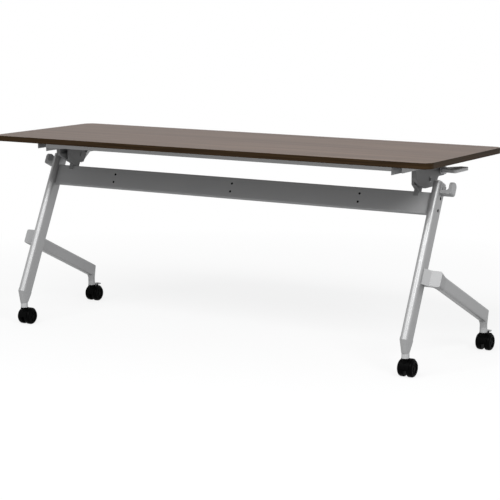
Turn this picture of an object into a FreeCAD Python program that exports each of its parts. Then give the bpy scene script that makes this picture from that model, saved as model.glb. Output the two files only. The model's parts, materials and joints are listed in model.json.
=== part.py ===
import FreeCAD, Part
import math
import os
import re

import Sketcher
from FreeCAD import Placement, Rotation, Vector

# Flip-top folding conference table on a leaning two-post base with four twin-wheel casters.
# Frame: +X along the length, -Y the front, +Z up, origin on the floor under the middle of the top.
# The leaning frame has its own axes: across the table, along the struts (rearwards and down) and
# along the posts (up and rearwards). Its origin is where a post's axis meets the front caster's stem.

SIZES = {
    # Tabletop
    "top_length": 1800,
    "top_depth": 600,
    "top_height": 720,
    "top_thickness": 20,
    "corner_radius": 35,
    "band_thickness": 2,
    "band_arris": 1,
    "laminate_thickness": 1,
    # Folded steel under the tabletop
    "sheet_wall": 1.6,
    "channel_inset": 162,
    "channel_width": 40,
    "channel_end": 95,
    "channel_inner_drop": 38,
    "channel_outer_drop": 30,
    "rail_depth": 40,
    "rail_drop": 25,
    "screw_head_radius": 5,
    "screw_head_height": 2.5,
    "screw_radius": 2,
    "screw_length": 12,
    "screw_end": 25,
    "screw_step": 40,
    "screw_inset": 218,
    # Flip hinge
    "pivot_drop": 92,
    "pivot_offset": 19.2,
    "pin_radius": 6,
    "pin_head_radius": 9,
    "pin_head_height": 2,
    "pin_tail": 4,
    "clip_radius": 9,
    "clip_thickness": 1.2,
    "bush_wall": 2,
    "bush_flange_radius": 11,
    "bush_flange_height": 1.5,
    "arm_thickness": 15.4,
    "arm_front": 110,
    "arm_chin": 9,
    "arm_toe": 40,
    "arm_sole": 27,
    "arm_heel": 57,
    "arm_heel_rise": 21,
    "arm_flare": 8,
    "arm_waist": 4,
    "arm_rear": 112,
    "arm_corner": 9,
    "arm_rim": 4,
    "arm_recess": 9,
    "bracket_gap": 2.4,
    "bracket_thickness": 10,
    "bracket_flange": 16,
    "bracket_lip": 5,
    "bracket_lip_length": 15,
    "bracket_rear_lip": 12,
    "bracket_rear_drop": 30,
    "bracket_crown": 30,
    "bracket_nose": 84,
    "bracket_tail": 28,
    "bracket_chin": 33,
    "bracket_chin_rise": 12,
    "bracket_rib": 7,
    # Release lever, its cross shaft and the latches
    "shaft_back": 80,
    "shaft_rise": 24,
    "shaft_radius": 6,
    "shaft_wall": 1.5,
    "shaft_tail": 16,
    "latch_radius": 20,
    "latch_thickness": 6,
    "latch_gap": 0.4,
    "notch_depth": 7,
    "notch_width": 9.5,
    "pawl_thickness": 4,
    "pawl_nose": 6,
    "pawl_nose_rise": 6.5,
    "pawl_flank": 0.5,
    "pawl_arm": 9,
    "pawl_hub_radius": 11,
    "pawl_root": 5.5,
    "pawl_root_rise": 8.8,
    "lever_hub_radius": 13,
    "lever_hub_length": 16,
    "lever_gap": 1.5,
    "lever_inset": 70,
    "lever_front": 38,
    "lever_rear": 72,
    "lever_bottom": 4,
    "lever_thickness": 12,
    "lever_dish": 5,
    "lever_rim": 5,
    "lever_corner": 8,
    "lever_edge": 2,
    "spring_wire": 0.7,
    "spring_pitch": 2,
    "spring_turns": 3,
    "spring_leg": 24,
    # Leaning posts and cross beam
    "lean_angle": 25.5,
    "post_inset": 97,
    "post_width": 30,
    "post_depth": 60,
    "tube_wall": 2,
    "post_drop": 19,
    "foot_corner": 115,
    "foot_gap": 17,
    "sleeve_height": 9,
    "sleeve_wall": 0.8,
    "cap_height": 4,
    "cap_edge": 2.5,
    "cap_plug": 15,
    "plug_fit": 0.1,
    "spigot_length": 22,
    "beam_height": 76,
    "beam_depth": 20,
    "beam_corner": 3,
    "beam_drop": 93,
    "panel_hole_inset": 382,
    "panel_hole_spacing": 30,
    "panel_hole_radius": 2.75,
    "beam_plug_length": 12,
    "bolt_spacing": 43,
    "bolt_radius": 3,
    "bolt_length": 12,
    "bolt_head_radius": 5,
    "bolt_head_height": 6,
    "access_radius": 6,
    # Bag hooks
    "hook_reach": 41,
    "hook_thickness": 12,
    "hook_plate": 4,
    "hook_width": 36,
    "hook_drop": 38,
    "hook_rise": 6,
    "hook_bend": 8,
    "hook_tip": 16,
    # Rear struts
    "heel_height": 127.535,
    "strut_width": 30,
    "strut_depth": 47,
    "strut_corner": 8,
    "elbow_front": 9,
    "elbow_flare": 20,
    "elbow_root": 10,
    "elbow_back": 24,
    "elbow_end": 48,
    "elbow_offset": 4,
    "elbow_depth": 54,
    "strut_tail": 14,
    "neck_rise": 12,
    "neck_corner": 12,
    # Caster seats
    "stem_front_inset": 49,
    "stem_rear_inset": 50,
    "strut_inset": 38,
    "collar_radius": 13.5,
    "collar_height": 18,
    "collar_top": 85,
    "seat_width": 26,
    "seat_depth": 26,
    "front_seat_depth": 31,
    "stem_radius": 5.5,
    "stem_rise": 38,
    "stem_clearance": 2,
    "running_fit": 0.05,
    # Casters
    "wheel_radius": 30,
    "wheel_width": 21.5,
    "wheel_inset": 6,
    "wheel_shoulder": 9,
    "wheel_throat": 4,
    "wheel_hub_radius": 8,
    "wheel_rim": 10.5,
    "wheel_dish": 3.5,
    "wheel_cap": 2.5,
    "trail": 17,
    "hood_gap": 0.8,
    "hood_wall": 2.2,
    "hood_web": 10,
    "hood_boss": 11,
    "hood_flange": 14,
    "hood_flange_height": 3.4,
    "swivel_gap": 0.3,
    "axle_radius": 3,
    "pedal_back": 11,
    "pedal_gap": 0.4,
    "pedal_knuckle": 3,
    "pedal_ear_rim": 0.8,
    "pedal_pin": 1.5,
    "pedal_half_width": 5.7,
    "pedal_ear": 3,
    "pedal_length": 21,
    "pedal_width": 24,
    "pedal_thickness": 4,
}

# Places that follow from the sizes and are used by name in expressions
PLACES = {
    "channel_center": "(top_length / 2 - channel_inset)",
    "channel_length": "(top_depth - 2 * channel_end)",
    "screw_far": "(channel_length / 2 - screw_end)",
    "screw_near": "(screw_far - screw_step)",
    "screw_pitch": "(channel_center - channel_width / 2 - screw_inset)",
    "bracket_near": "(channel_center - channel_width / 2 + sheet_wall + bracket_gap)",
    "lever_reach": "(top_length / 2 - lever_inset)",
    "post_x": "(top_length / 2 - post_inset)",
    "strut_x": "(top_length / 2 - strut_inset)",
    "panel_hole_pitch": "(top_length / 2 - panel_hole_inset)",
    "stem_front": "(top_depth / 2 - stem_front_inset)",
    "stem_rear": "(top_depth / 2 - stem_rear_inset)",
    "wheelbase": "(stem_front + stem_rear)",
    "strut_level": "((heel_height - foot_corner) * cos(lean_angle) + wheelbase * sin(lean_angle))",
    "elbow_level": "(strut_level + elbow_offset)",
}

# Longer places, written out as expressions
TOP_UNDER = "(top_height - top_thickness)"
WEB_UNDER = f"({TOP_UNDER} - sheet_wall)"
PIVOT_Z = "(top_height - pivot_drop)"
PIVOT_LEVEL = f"(({PIVOT_Z} - foot_corner + pivot_offset * sin(lean_angle)) / cos(lean_angle))"
PIVOT_Y = f"({PIVOT_LEVEL} * sin(lean_angle) + pivot_offset * cos(lean_angle) - stem_front)"
BEAM_LEVEL = f"({PIVOT_LEVEL} - beam_drop)"
POST_TOP = f"({PIVOT_LEVEL} - post_drop)"
CHANNEL_NEAR = "(channel_center - channel_width / 2)"
CHANNEL_FAR = "(channel_center + channel_width / 2)"
ARM_FAR = f"({CHANNEL_FAR} - sheet_wall)"
ARM_NEAR = f"({ARM_FAR} - arm_thickness)"
ARM_CROWN = "(pivot_drop - top_thickness - sheet_wall)"
LATCH_NEAR = "(bracket_near + bracket_thickness)"
LATCH_FAR = f"({LATCH_NEAR} + latch_thickness)"
POST_INNER = "(post_x - post_width / 2)"
POST_OUTER = "(post_x + post_width / 2)"
STRUT_CORNER = "((wheelbase - strut_level * sin(lean_angle)) / cos(lean_angle))"
STRUT_END = f"({STRUT_CORNER} - strut_tail)"
HOOD_INNER = "(wheel_radius + hood_gap)"
HOOD_OUTER = f"({HOOD_INNER} + hood_wall)"
COLLAR_BOTTOM = "(collar_top - collar_height)"
STEM_BORE = "(stem_radius + running_fit)"
PEDAL_Y = "(trail + pedal_back)"
PEDAL_Z = f"(wheel_radius + sqrt(({HOOD_OUTER} + pedal_knuckle + pedal_gap) ^ 2 - pedal_back ^ 2))"

FLOOR_FRAME = ("0", "0", "0")
LEAN_FRAME = ("0", "-stem_front", "foot_corner")
PIVOT_FRAME = ("0", PIVOT_Y, PIVOT_Z)
SHAFT_FRAME = ("0", f"({PIVOT_Y} + shaft_back)", f"({PIVOT_Z} + shaft_rise)")
SIDES = {"left": -1, "right": 1}

SIZE_NAME = re.compile(r"[a-z][a-z_]*")
TOUCH = 1e-4

doc = FreeCAD.newDocument("FlipTopTable")
sheet = doc.addObject("Spreadsheet::Sheet", "Sizes")
for row, (name, number) in enumerate(SIZES.items(), 1):
    sheet.set(f"A{row}", name)
    sheet.set(f"B{row}", str(number))
    sheet.setAlias(f"B{row}", name)
doc.recompute()
subparts = []


def bound(expression):
    """The expression with its places worked out and each size's name pointing at its cell."""

    def cell(word):
        name = word.group()
        if name in PLACES:
            return bound(PLACES[name])
        return f"Sizes.{name}" if name in SIZES else name

    return SIZE_NAME.sub(cell, str(expression))


def value(expression):
    """The number that an expression of size names stands for now."""
    return float(sheet.evalExpression(bound(expression)))


def place(body, base, turn_axis=None, turn="0"):
    """Sets a body's frame, bound to the sheet."""
    rotation = Rotation(turn_axis, value(turn)) if turn_axis else Rotation()
    body.Placement = Placement(Vector(*(value(part) for part in base)), rotation)
    for axis, part in zip("xyz", base):
        body.setExpression(f"Placement.Base.{axis}", bound(part))
    if turn_axis:
        body.setExpression("Placement.Rotation.Angle", bound(turn))


def new_body(label, base=FLOOR_FRAME, leaning=False):
    body = doc.addObject("PartDesign::Body", label)
    body.Label = label
    place(body, base, Vector(-1, 0, 0) if leaning else None, "lean_angle")
    subparts.append(body)
    return body


def new_sketch(body, plane, offset="0", at=None, turn_axis=None, turn="0"):
    """A sketch on an origin plane, moved along its normal, or to a point and turned."""
    origin = {feature.Role: feature for feature in body.Origin.OriginFeatures}
    sketch = body.newObject("Sketcher::SketchObject", f"{body.Label}_sketch")
    sketch.AttachmentSupport = (origin[plane], [""])
    sketch.MapMode = "FlatFace"
    base = at or ("0", "0", offset)
    rotation = Rotation(turn_axis, value(turn)) if turn_axis else Rotation()
    sketch.AttachmentOffset = Placement(Vector(*(value(part) for part in base)), rotation)
    for axis, part in zip("xyz", base):
        sketch.setExpression(f"AttachmentOffset.Base.{axis}", bound(part))
    if turn_axis:
        sketch.setExpression("AttachmentOffset.Rotation.Angle", bound(turn))
    return sketch


def dimension(sketch, kind, *where, size):
    """A driving dimension of a sketch, bound to the sheet."""
    index = sketch.addConstraint(Sketcher.Constraint(kind, *where, value(size)))
    sketch.setExpression(f"Constraints[{index}]", bound(size))


def locate(sketch, geometry, point, across, up):
    """Dimensions from the sketch's origin to a point of a piece of geometry."""
    dimension(sketch, "DistanceX", -1, 1, geometry, point, size=across)
    dimension(sketch, "DistanceY", -1, 1, geometry, point, size=up)


def circle(sketch, across, up, radius):
    center = Vector(value(across), value(up), 0)
    index = sketch.addGeometry(Part.Circle(center, Vector(0, 0, 1), value(radius)), False)
    dimension(sketch, "Radius", index, size=radius)
    locate(sketch, index, 3, across, up)


def polygon(sketch, points):
    """A closed outline of straight sides through points given as pairs of expressions."""
    corners = [Vector(value(across), value(up), 0) for across, up in points]
    first = sketch.GeometryCount
    for start, end in zip(corners, corners[1:] + corners[:1]):
        sketch.addGeometry(Part.LineSegment(start, end), False)
    for index, (across, up) in enumerate(points):
        following = first + (index + 1) % len(points)
        sketch.addConstraint(Sketcher.Constraint("Coincident", first + index, 2, following, 1))
        locate(sketch, first + index, 1, across, up)


def arc_outline(sketch, radius, corners):
    """A closed outline of equal arcs, each by centre, first angle and sweep, joined by tangents."""
    first = sketch.GeometryCount
    for across, up, start, sweep in corners:
        whole = Part.Circle(Vector(value(across), value(up), 0), Vector(0, 0, 1), value(radius))
        angles = (math.radians(start), math.radians(start + sweep))
        index = sketch.addGeometry(Part.ArcOfCircle(whole, *angles), False)
        dimension(sketch, "Radius", index, size=radius)
        locate(sketch, index, 3, across, up)
    for index in range(first, first + len(corners)):
        following = first + (index - first + 1) % len(corners)
        ends = sketch.Geometry[index].EndPoint, sketch.Geometry[following].StartPoint
        line = sketch.addGeometry(Part.LineSegment(*ends), False)
        sketch.addConstraint(Sketcher.Constraint("Tangent", index, 2, line, 1))
        sketch.addConstraint(Sketcher.Constraint("Tangent", line, 2, following, 1))


def rounded_rectangle(sketch, width, height, radius, across="0", up="0"):
    """A rectangle with rounded corners about a centre."""
    aside, rise = f"(({width}) / 2 - ({radius}))", f"(({height}) / 2 - ({radius}))"
    corners = [(1, 1, 0), (-1, 1, 90), (-1, -1, 180), (1, -1, 270)]
    arc_outline(
        sketch,
        radius,
        [(f"({across}) + {sx} * {aside}", f"({up}) + {sy} * {rise}", at, 90) for sx, sy, at in corners],
    )


def flat_oval(sketch, width, depth, inset="0", across="0", up="0"):
    """A flat oval, narrow across, drawn in by an inset all round."""
    rise = f"((({depth}) - ({width})) / 2)"
    ends = [(across, f"({up}) + {rise}", 0, 180), (across, f"({up}) - {rise}", 180, 180)]
    arc_outline(sketch, f"(({width}) / 2 - ({inset}))", ends)


def strut_section(sketch, inset="0", across="0", up="0"):
    """The strut's rounded rectangle, drawn in by an inset all round."""
    width, depth = f"(strut_width - 2 * ({inset}))", f"(strut_depth - 2 * ({inset}))"
    rounded_rectangle(sketch, width, depth, f"(strut_corner - ({inset}))", across, up)


def pad(body, sketch, length):
    feature = body.newObject("PartDesign::Pad", f"{body.Label}_pad")
    feature.Profile = sketch
    feature.setExpression("Length", bound(length))


def pocket(body, sketch, length, along_normal=False):
    """Cuts a sketch's outlines to a depth, and stops if nothing was cut."""
    doc.recompute()
    before = body.Shape.Volume
    feature = body.newObject("PartDesign::Pocket", f"{body.Label}_pocket")
    feature.Profile = sketch
    feature.Reversed = along_normal
    feature.setExpression("Length", bound(length))
    doc.recompute()
    if body.Shape.Volume > before - TOUCH:
        raise RuntimeError(f"{body.Label}: a pocket cuts nothing")


def revolve(body, sketch):
    """Turns a sketch a full turn about its own horizontal axis."""
    feature = body.newObject("PartDesign::Revolution", f"{body.Label}_turned")
    feature.Profile = sketch
    feature.ReferenceAxis = (sketch, ["H_Axis"])
    feature.Angle = 360


def loft(body, first, *others, ruled=False):
    feature = body.newObject("PartDesign::AdditiveLoft", f"{body.Label}_loft")
    feature.Profile = first
    feature.Sections = list(others)
    feature.Ruled = ruled


def round_edges(body, chosen, radius):
    """Fillets the edges of the body's last feature that a test picks."""
    doc.recompute()
    base = body.Tip
    names = [f"Edge{index}" for index, edge in enumerate(base.Shape.Edges, 1) if chosen(edge)]
    feature = body.newObject("PartDesign::Fillet", f"{body.Label}_fillet")
    feature.Base = (base, names)
    feature.setExpression("Radius", bound(radius))


def straight_along(edge, direction):
    """True for a straight edge that runs along a direction."""
    if edge.Curve.TypeId != "Part::GeomLine":
        return False
    run = edge.Vertexes[-1].Point - edge.Vertexes[0].Point
    return run.cross(direction).Length < TOUCH


def corner_edges(direction, points):
    """A test for straight edges along X, Y or Z through corners given in the plane across it."""
    kept = [axis for axis in range(3) if abs(direction[axis]) < TOUCH]
    places = [(value(first), value(second)) for first, second in points]

    def chosen(edge):
        if not straight_along(edge, direction):
            return False
        spot = edge.Vertexes[0].Point
        return any(math.dist((spot[kept[0]], spot[kept[1]]), target) < 0.01 for target in places)

    return chosen


def span(side, near, far):
    """Low end and length along X of what lies between two distances from the middle plane."""
    low = near if side > 0 else f"-({far})"
    return low, f"(({far}) - ({near}))"


def screw_places():
    """Centres, across and along the depth, of the screws that hold the steel to the tabletop."""
    places = []
    for side in SIDES.values():
        for row in ("-screw_far", "-screw_near", "screw_near", "screw_far"):
            places.append((f"{side} * channel_center", row))
    for side in SIDES.values():
        for step in (-1, 0, 1):
            places.append((f"{step} * screw_pitch", f"{side} * (channel_length - rail_depth) / 2"))
    return places


def circles(sketch, places, radius):
    for across, up in places:
        circle(sketch, across, up, radius)


def make_tabletop():
    core = new_body("tabletop_core")
    laminate = new_body("top_laminate")
    inner = ("top_length - 2 * band_thickness", "top_depth - 2 * band_thickness")
    corner = "corner_radius - band_thickness"
    outline = new_sketch(core, "XY_Plane", TOP_UNDER)
    rounded_rectangle(outline, *inner, corner)
    pad(core, outline, "top_thickness - laminate_thickness")
    pilots = new_sketch(core, "XY_Plane", TOP_UNDER)
    circles(pilots, screw_places(), "screw_radius + running_fit")
    pocket(core, pilots, "screw_length", along_normal=True)
    outline = new_sketch(laminate, "XY_Plane", "top_height - laminate_thickness")
    rounded_rectangle(outline, *inner, corner)
    pad(laminate, outline, "laminate_thickness")

    band = new_body("edge_band")
    outline = new_sketch(band, "XY_Plane", TOP_UNDER)
    rounded_rectangle(outline, "top_length", "top_depth", "corner_radius")
    rounded_rectangle(outline, *inner, corner)
    pad(band, outline, "top_thickness")
    half_length, half_depth = value("top_length / 2"), value("top_depth / 2")

    def on_rim(edge):
        ends = [vertex.Point for vertex in edge.Vertexes]
        level = abs(ends[0].z - ends[-1].z) < TOUCH
        outer = any(
            abs(point.x) > half_length - TOUCH or abs(point.y) > half_depth - TOUCH for point in ends
        )
        return level and outer

    round_edges(band, on_rim, "band_arris")


def make_channel(name, side):
    """Inverted U with a deeper inner flange, lying along the depth under one end of the top."""
    body = new_body(f"support_channel_{name}")
    outline = new_sketch(body, "XZ_Plane", "-channel_length / 2")
    low_inner = f"({TOP_UNDER} - channel_inner_drop)"
    low_outer = f"({TOP_UNDER} - channel_outer_drop)"
    points = [
        (CHANNEL_NEAR, low_inner),
        (CHANNEL_NEAR, TOP_UNDER),
        (CHANNEL_FAR, TOP_UNDER),
        (CHANNEL_FAR, low_outer),
        (ARM_FAR, low_outer),
        (ARM_FAR, WEB_UNDER),
        (f"({CHANNEL_NEAR} + sheet_wall)", WEB_UNDER),
        (f"({CHANNEL_NEAR} + sheet_wall)", low_inner),
    ]
    polygon(outline, [(f"{side} * {across}", up) for across, up in points])
    pad(body, outline, "channel_length")
    drill_web(body, [spot for spot in screw_places()[:8] if spot[0].startswith(f"{side} ")])


def drill_web(body, places):
    """Screw holes through the steel that lies against the tabletop."""
    holes = new_sketch(body, "XY_Plane", TOP_UNDER)
    circles(holes, places, "screw_radius + running_fit")
    pocket(body, holes, "sheet_wall")


def make_rail(name, side):
    """Inverted U along the length between the two channels."""
    body = new_body(f"{name}_rail")
    outer = f"({side} * channel_length / 2)"
    inner = f"({side} * (channel_length / 2 - rail_depth))"
    low = f"({TOP_UNDER} - rail_drop)"
    wall = f"({side} * sheet_wall)"
    outline = new_sketch(body, "YZ_Plane", f"-{CHANNEL_NEAR}")
    polygon(
        outline,
        [
            (outer, low),
            (outer, TOP_UNDER),
            (inner, TOP_UNDER),
            (inner, low),
            (f"{inner} + {wall}", low),
            (f"{inner} + {wall}", WEB_UNDER),
            (f"{outer} - {wall}", WEB_UNDER),
            (f"{outer} - {wall}", low),
        ],
    )
    pad(body, outline, f"2 * {CHANNEL_NEAR}")
    drill_web(body, [spot for spot in screw_places()[8:] if spot[1].startswith(f"{side} ")])


def make_top_screws():
    body = new_body("top_screws")
    heads = new_sketch(body, "XY_Plane", f"{WEB_UNDER} - screw_head_height")
    circles(heads, screw_places(), "screw_head_radius")
    pad(body, heads, "screw_head_height")
    shanks = new_sketch(body, "XY_Plane", WEB_UNDER)
    circles(shanks, screw_places(), "screw_radius")
    pad(body, shanks, "screw_length")


def make_hinge_arm(name, side):
    """Cast arm inside the channel that swings on the hinge pin and carries the release shaft."""
    body = new_body(f"hinge_arm_{name}", PIVOT_FRAME)
    low, length = span(side, ARM_NEAR, ARM_FAR)
    points = [
        ("-arm_front", ARM_CROWN),
        ("-arm_front", "arm_chin"),
        ("-arm_toe", "-arm_sole"),
        ("arm_toe", "-arm_sole"),
        ("arm_heel", "arm_heel_rise - arm_sole"),
        ("arm_heel + arm_flare", "arm_waist"),
        ("arm_rear", "arm_waist"),
        ("arm_rear", ARM_CROWN),
    ]
    outline = new_sketch(body, "YZ_Plane", low)
    polygon(outline, points)
    pad(body, outline, length)
    round_edges(body, corner_edges(Vector(1, 0, 0), points[1:6]), "arm_corner")
    # The inner face is hollowed to a rim, with bosses left round the pin and the shaft.
    hollow = new_sketch(body, "YZ_Plane", ARM_NEAR if side > 0 else f"-{ARM_NEAR}")
    polygon(
        hollow,
        [
            ("-arm_front + arm_rim", f"{ARM_CROWN} - arm_rim"),
            ("-arm_front + arm_rim", "arm_chin + arm_rim"),
            ("-arm_toe", "arm_rim + arm_waist"),
            ("-arm_toe", f"{ARM_CROWN} - arm_rim"),
        ],
    )
    pocket(body, hollow, "arm_recess", along_normal=side > 0)
    holes = new_sketch(body, "YZ_Plane", ARM_FAR if side > 0 else f"-{ARM_NEAR}")
    circle(holes, "0", "0", "pin_radius + bush_wall + 2 * running_fit")
    circle(holes, "shaft_back", "shaft_rise", "shaft_radius + running_fit")
    pocket(body, holes, "arm_thickness")


def make_hinge_bush(name, side):
    """Flanged plain bearing in the arm's pin hole."""
    body = new_body(f"hinge_bush_{name}", PIVOT_FRAME)
    low, length = span(side, ARM_NEAR, ARM_FAR)
    barrel = new_sketch(body, "YZ_Plane", low)
    circle(barrel, "0", "0", "pin_radius + bush_wall + running_fit")
    pad(body, barrel, length)
    low, length = span(side, f"({ARM_NEAR} - bush_flange_height)", ARM_NEAR)
    flange = new_sketch(body, "YZ_Plane", low)
    circle(flange, "0", "0", "bush_flange_radius")
    pad(body, flange, length)
    bore = new_sketch(body, "YZ_Plane", ARM_FAR if side > 0 else f"-{ARM_NEAR} + bush_flange_height")
    circle(bore, "0", "0", "pin_radius + running_fit")
    pocket(body, bore, "arm_thickness + bush_flange_height")


def latch_layout():
    """Shaft, nose direction and arm direction of the latch about the pivot, in the YZ plane."""
    back, rise = value("shaft_back"), value("shaft_rise")
    reach = value("latch_radius + latch_gap")
    toward = math.atan2(rise, back) - math.acos(reach / math.hypot(back, rise))
    nose = (reach * math.cos(toward), reach * math.sin(toward))
    arm = math.atan2(nose[1] - rise, nose[0] - back)
    return toward, arm, math.dist(nose, (back, rise))


def make_hinge_bracket(name, side):
    """Cast saddle on the beam that holds the pin, with the notched latch disc on its outer face."""
    body = new_body(f"hinge_bracket_{name}", PIVOT_FRAME, leaning=True)
    front = "(-pivot_offset - beam_depth / 2)"
    rear = "(-pivot_offset + beam_depth / 2)"
    seat = "(beam_height / 2 - beam_drop)"
    lip = f"({seat} - bracket_lip_length)"
    plate = [
        (f"{front} - bracket_lip", lip),
        (f"{front} - bracket_lip", f"{seat} + bracket_lip"),
        (f"{front} - bracket_chin", f"{seat} + bracket_chin_rise"),
        ("-bracket_nose", "0"),
        ("-latch_radius / 2", "bracket_crown"),
        ("bracket_tail", "bracket_crown / 2"),
        ("bracket_tail - bracket_lip", "-latch_radius"),
        (f"{rear} + bracket_rear_lip", "-bracket_rear_drop"),
        (f"{rear} + bracket_rear_lip", lip),
        (rear, lip),
        (rear, seat),
        (front, seat),
        (front, lip),
    ]
    low, length = span(side, "bracket_near", LATCH_NEAR)
    outline = new_sketch(body, "YZ_Plane", low)
    polygon(outline, plate)
    pad(body, outline, length)
    round_edges(body, corner_edges(Vector(1, 0, 0), [plate[2], plate[3], plate[5]]), "bracket_rib")
    # Front flange that stiffens the saddle and closes it to view
    low, length = span(side, "bracket_near", "bracket_near + bracket_flange")
    flange = new_sketch(body, "YZ_Plane", low)
    polygon(
        flange,
        [
            plate[0],
            plate[1],
            plate[2],
            (f"{front} - bracket_chin + bracket_rib", f"{seat} + bracket_chin_rise + bracket_rib"),
            (front, f"{seat} + bracket_rib"),
            (front, lip),
        ],
    )
    pad(body, flange, length)
    low, length = span(side, "bracket_near", LATCH_FAR)
    disc = new_sketch(body, "YZ_Plane", low)
    circle(disc, "0", "0", "latch_radius")
    pad(body, disc, length)
    cut_notches(body, side)
    bore = new_sketch(body, "YZ_Plane", LATCH_FAR if side > 0 else "-bracket_near")
    circle(bore, "0", "0", "pin_radius + running_fit")
    pocket(body, bore, "bracket_thickness + latch_thickness")


def cut_notches(body, side):
    """Two notches a quarter turn apart, where the pawl drops in flat and folded."""
    toward, _, _ = latch_layout()
    lean = math.radians(value("lean_angle"))
    inner, outer = value("latch_radius - notch_depth"), value("latch_radius + notch_width")
    half = value("notch_width / 2")
    face = new_sketch(body, "YZ_Plane", LATCH_FAR if side > 0 else f"-{LATCH_NEAR}")
    for turn in (0, -math.pi / 2):
        angle = toward + lean + turn
        ahead = Vector(math.cos(angle), math.sin(angle), 0)
        aside = Vector(-math.sin(angle), math.cos(angle), 0) * half
        ends = ((inner, 1), (outer, 1), (outer, -1), (inner, -1))
        corners = [ahead * reach + aside * way for reach, way in ends]
        polygon(face, [(f"{spot.x:.9f}", f"{spot.y:.9f}") for spot in corners])
    pocket(body, face, "latch_thickness")


def make_hinge_pin(name, side):
    """Headed pin from the bracket through the arm's bush to the clip."""
    body = new_body(f"hinge_pin_{name}", PIVOT_FRAME)
    low, length = span(side, "bracket_near", f"({ARM_FAR} + pin_tail)")
    shank = new_sketch(body, "YZ_Plane", low)
    circle(shank, "0", "0", "pin_radius")
    pad(body, shank, length)
    low, length = span(side, "(bracket_near - pin_head_height)", "bracket_near")
    head = new_sketch(body, "YZ_Plane", low)
    circle(head, "0", "0", "pin_head_radius")
    pad(body, head, length)


def make_pin_clips():
    """Retaining rings on the outer ends of both hinge pins."""
    body = new_body("pin_clips", PIVOT_FRAME)
    near = f"({ARM_FAR} + swivel_gap)"
    for side in SIDES.values():
        low, length = span(side, near, f"({near} + clip_thickness)")
        ring = new_sketch(body, "YZ_Plane", low)
        circle(ring, "0", "0", "clip_radius")
        circle(ring, "0", "0", "pin_radius + running_fit / 2")
        pad(body, ring, length)


def make_release_shaft():
    """Cross tube that joins the two latches, longer on the lever's end."""
    body = new_body("release_shaft", SHAFT_FRAME)
    low, high = f"-{ARM_FAR}", f"({ARM_FAR} + shaft_tail)"
    outline = new_sketch(body, "YZ_Plane", low)
    circle(outline, "0", "0", "shaft_radius")
    circle(outline, "0", "0", "shaft_radius - shaft_wall")
    pad(body, outline, f"{high} + {ARM_FAR}")


def make_latch_pawl(name, side):
    """Hooked arm on the shaft whose nose drops into the latch disc's notches."""
    _, arm, reach = latch_layout()
    body = new_body(f"latch_pawl_{name}", SHAFT_FRAME)
    place(body, SHAFT_FRAME, Vector(1, 0, 0), f"{math.degrees(arm) % 360:.9f}")
    middle = f"({LATCH_NEAR} + latch_thickness / 2)"
    low, length = span(side, f"({middle} - pawl_thickness / 2)", f"({middle} + pawl_thickness / 2)")
    nose = f"{reach:.9f}"
    outline = new_sketch(body, "YZ_Plane", low)
    polygon(
        outline,
        [
            ("pawl_root", "-pawl_root"),
            (f"{nose} - pawl_nose / 2 - pawl_flank", "pawl_nose_rise"),
            (f"{nose} - pawl_nose / 2", "0"),
            (f"{nose} + pawl_nose / 2", "0"),
            (f"{nose} + pawl_nose / 2", "pawl_nose_rise + pawl_arm"),
            ("pawl_root", "pawl_root_rise"),
        ],
    )
    pad(body, outline, length)
    hub = new_sketch(body, "YZ_Plane", low)
    circle(hub, "0", "0", "pawl_hub_radius")
    pad(body, hub, length)
    bore = new_sketch(body, "YZ_Plane", f"{low} + {length}")
    circle(bore, "0", "0", "shaft_radius + running_fit / 2")
    pocket(body, bore, "pawl_thickness")


def make_release_lever():
    """Dished finger paddle with a hub on the shaft's right end."""
    body = new_body("release_lever", SHAFT_FRAME)
    near = f"({CHANNEL_FAR} + lever_gap)"
    neck = f"({near} + lever_hub_length)"
    hub = new_sketch(body, "YZ_Plane", near)
    circle(hub, "0", "0", "lever_hub_radius")
    pad(body, hub, "lever_hub_length")
    paddle = [
        (near, "-lever_hub_radius + lever_rim"),
        (neck, "-lever_hub_radius - lever_hub_length"),
        ("lever_reach", "-lever_front"),
        ("lever_reach", "lever_rear"),
        (f"({neck} + lever_reach) / 2 - lever_rim", "lever_rear"),
        (neck, "lever_rear / 2"),
        (near, "lever_hub_radius - lever_rim"),
    ]
    outline = new_sketch(body, "XY_Plane", "-lever_bottom")
    polygon(outline, paddle)
    pad(body, outline, "lever_thickness")
    round_edges(body, corner_edges(Vector(0, 0, 1), paddle[2:5]), "lever_corner")
    dish = new_sketch(body, "XY_Plane", "lever_thickness - lever_bottom")
    polygon(
        dish,
        [
            (f"{neck} + 2 * lever_rim", "-lever_hub_radius - lever_rim"),
            ("lever_reach - lever_rim", "-lever_front + 2 * lever_rim"),
            ("lever_reach - lever_rim", "lever_rear - lever_rim"),
            (f"({neck} + lever_reach) / 2", "lever_rear - lever_rim"),
            (f"{neck} + 2 * lever_rim", "lever_rear / 2"),
        ],
    )
    pocket(body, dish, "lever_dish")
    rim = value("lever_reach")

    def outer_rim(edge):
        return straight_along(edge, Vector(0, 1, 0)) and abs(edge.Vertexes[0].Point.x - rim) < TOUCH

    round_edges(body, outer_rim, "lever_edge")
    bore = new_sketch(body, "YZ_Plane", neck)
    circle(bore, "0", "0", "shaft_radius + running_fit / 2")
    pocket(body, bore, "lever_hub_length")


def arc_from(start, heading, end):
    """The circular arc that leaves a point along a heading and ends at another point."""
    chord = end - start
    aside = heading - chord * (heading.dot(chord) / chord.dot(chord))
    if aside.Length < TOUCH:
        return Part.LineSegment(start, end).toShape()
    bow = chord.Length / 2 * math.tan(heading.getAngle(chord) / 2)
    return Part.Arc(start, (start + end) * 0.5 + aside.normalize() * bow, end).toShape()


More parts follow.
